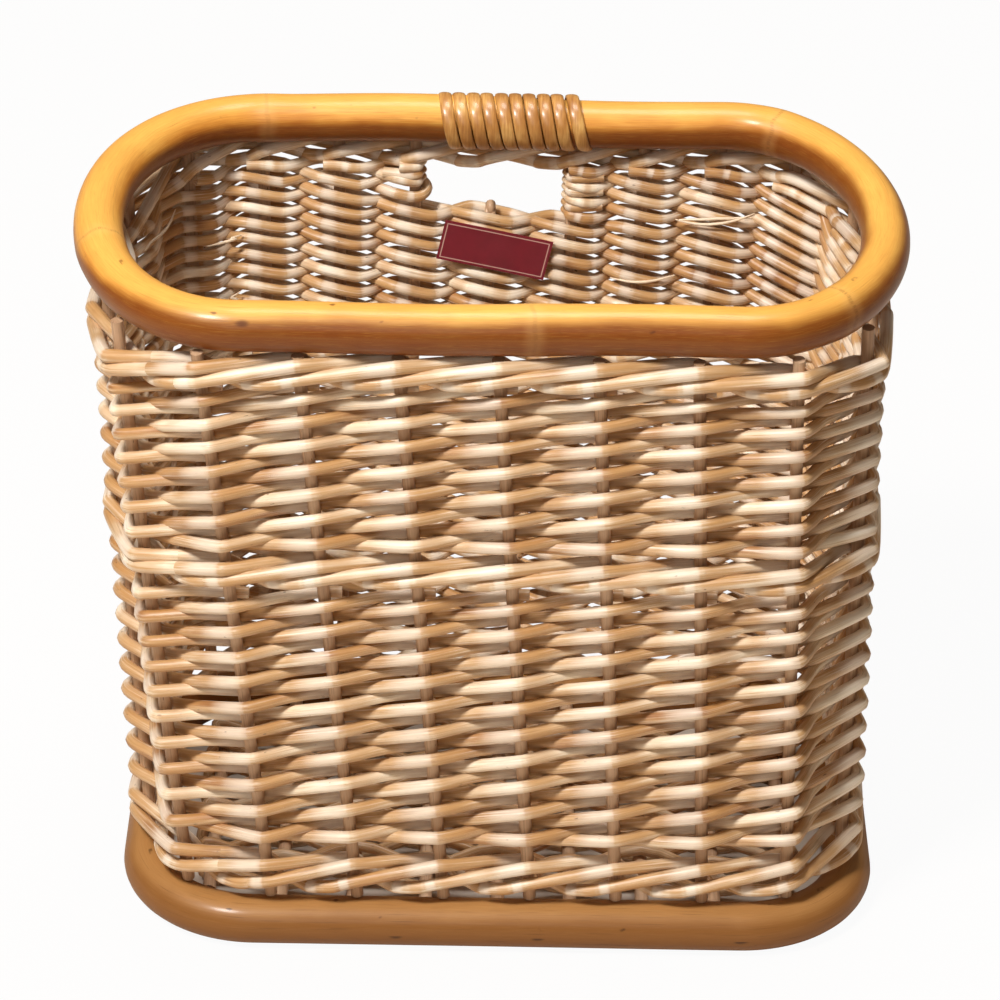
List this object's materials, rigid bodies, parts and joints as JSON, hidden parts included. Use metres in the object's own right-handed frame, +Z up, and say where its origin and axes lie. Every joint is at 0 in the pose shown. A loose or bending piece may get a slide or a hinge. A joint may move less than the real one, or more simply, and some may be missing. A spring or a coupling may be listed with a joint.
{
  "type": "magazine basket",
  "caption": "Tall oblong woven willow magazine basket with thick bent rattan rim and foot hoops, a bound hand grip and a hand hole in the back wall.",
  "frame": {"origin": "on the floor, under the middle of the rim", "axes": "+X along the long side, towards the right seen from the front; +Y towards the back wall with the hand hole; +Z up"},
  "size_m": [0.403, 0.2348, 0.3803],
  "materials": {
    "willow_weave": "dry peeled willow, some rods paler",
    "willow_stakes": "dry peeled willow, dull",
    "rattan_rim": "polished and lacquered rattan pole",
    "rattan_foot": "worn lacquered rattan pole",
    "split_cane": "smooth split cane",
    "label_card": "glossy coated card, plain"
  },
  "bodies": {
    "root": {"rim_hoop": "rattan_rim", "foot_hoop": "rattan_foot", "bottom_wale_rod_1": "willow_weave", "bottom_wale_rod_2": "willow_weave", "bottom_wale_rod_3": "willow_weave", "middle_wale_rod_1": "willow_weave", "middle_wale_rod_2": "willow_weave", "middle_wale_rod_3": "willow_weave", "top_wale_rod_1": "willow_weave", "top_wale_rod_2": "willow_weave", "top_wale_rod_3": "willow_weave", "lower_randing": "willow_weave", "upper_randing": "willow_weave", "handhold_rod_1": "willow_weave", "side_stake_01": "willow_stakes", "side_stake_02": "willow_stakes", "side_stake_03": "willow_stakes", "side_stake_04": "willow_stakes", "side_stake_05": "willow_stakes", "side_stake_06": "willow_stakes", "side_stake_07": "willow_stakes", "side_stake_08": "willow_stakes", "side_stake_09": "willow_stakes", "side_stake_10": "willow_stakes", "side_stake_11": "willow_stakes", "side_stake_12": "willow_stakes", "side_stake_13": "willow_stakes", "side_stake_14": "willow_stakes", "side_stake_15": "willow_stakes", "cut_stake": "willow_stakes", "side_stake_17": "willow_stakes", "side_stake_18": "willow_stakes", "side_stake_19": "willow_stakes", "side_stake_20": "willow_stakes", "side_stake_21": "willow_stakes", "side_stake_22": "willow_stakes", "side_stake_23": "willow_stakes", "side_stake_24": "willow_stakes", "grip_binding": "split_cane", "base_stick_1": "willow_stakes", "base_stick_2": "willow_stakes", "base_stick_3": "willow_stakes", "base_stick_4": "willow_stakes", "base_stick_5": "willow_stakes", "base_stick_6": "willow_stakes", "base_stick_7": "willow_stakes", "base_stick_8": "willow_stakes", "base_stick_9": "willow_stakes", "base_weaver": "willow_weave", "label_card": "label_card"}
  },
  "joints": []
}
